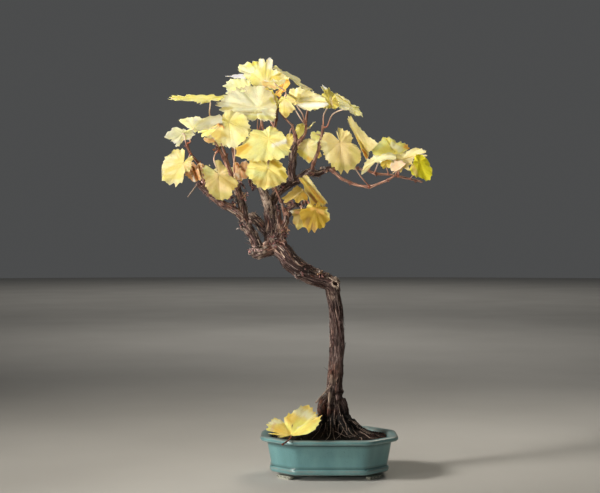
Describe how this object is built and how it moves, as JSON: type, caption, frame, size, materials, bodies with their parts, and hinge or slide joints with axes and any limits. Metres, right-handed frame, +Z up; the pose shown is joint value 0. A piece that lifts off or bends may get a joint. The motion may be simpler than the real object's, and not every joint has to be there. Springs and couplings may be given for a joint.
{
  "type": "grapevine bonsai in a pot",
  "caption": "Small grapevine trained as a bonsai, with a leaning head of autumn leaves on a bare bent trunk, in a glazed oblong pot with cut corners.",
  "frame": {"origin": "on the ground under the middle of the whole plant's bounding box", "axes": "+Z up; the side it is looked at from is -Y; +X to that viewer's right"},
  "size_m": [0.3076, 0.19, 0.4905],
  "materials": {
    "glaze": "celadon glaze, unglazed feet",
    "soil": "damp granular potting mix",
    "screen": "moulded mesh",
    "bark": "stringy old bark",
    "leaf": "autumn leaf, soft",
    "dry_leaf": "dry and curled"
  },
  "bodies": {
    "root": {"pot": "glaze", "soil": "soil", "drain_screen_left": "screen", "drain_screen_right": "screen", "vine": "bark", "leaf_left_1": "leaf", "leaf_left_2": "leaf", "leaf_left_3": "leaf", "leaf_left_4": "leaf", "leaf_left_5": "leaf", "leaf_left_6": "leaf", "leaf_left_7": "leaf", "leaf_crown_1": "leaf", "leaf_crown_2": "leaf", "leaf_crown_3": "leaf", "leaf_crown_4": "leaf", "leaf_crown_5": "leaf", "leaf_crown_6": "leaf", "leaf_crown_7": "leaf", "leaf_crown_8": "leaf", "leaf_crown_9": "leaf", "leaf_crown_10": "leaf", "leaf_crown_11": "leaf", "leaf_top_1": "leaf", "leaf_top_2": "leaf", "leaf_right_1": "leaf", "leaf_right_2": "leaf", "leaf_right_3": "leaf", "leaf_right_4": "leaf", "leaf_right_5": "leaf", "leaf_right_6": "leaf", "leaf_right_7": "leaf", "leaf_middle_1": "leaf", "leaf_middle_2": "leaf", "leaf_middle_3": "leaf", "leaf_middle_4": "leaf", "leaf_middle_5": "leaf", "leaf_front_1": "leaf", "leaf_front_2": "leaf", "leaf_low_1": "leaf", "leaf_low_2": "leaf", "leaf_low_3": "leaf", "leaf_low_4": "leaf", "leaf_back_1": "leaf", "leaf_back_2": "leaf", "leaf_back_3": "leaf", "leaf_back_4": "leaf", "leaf_back_5": "leaf", "leaf_back_6": "leaf", "leaf_back_7": "leaf", "leaf_back_8": "leaf", "leaf_back_9": "leaf", "leaf_dry_1": "dry_leaf", "leaf_dry_2": "dry_leaf", "leaf_dry_3": "dry_leaf", "leaf_dry_4": "dry_leaf", "leaf_fallen": "leaf"}
  },
  "joints": []
}
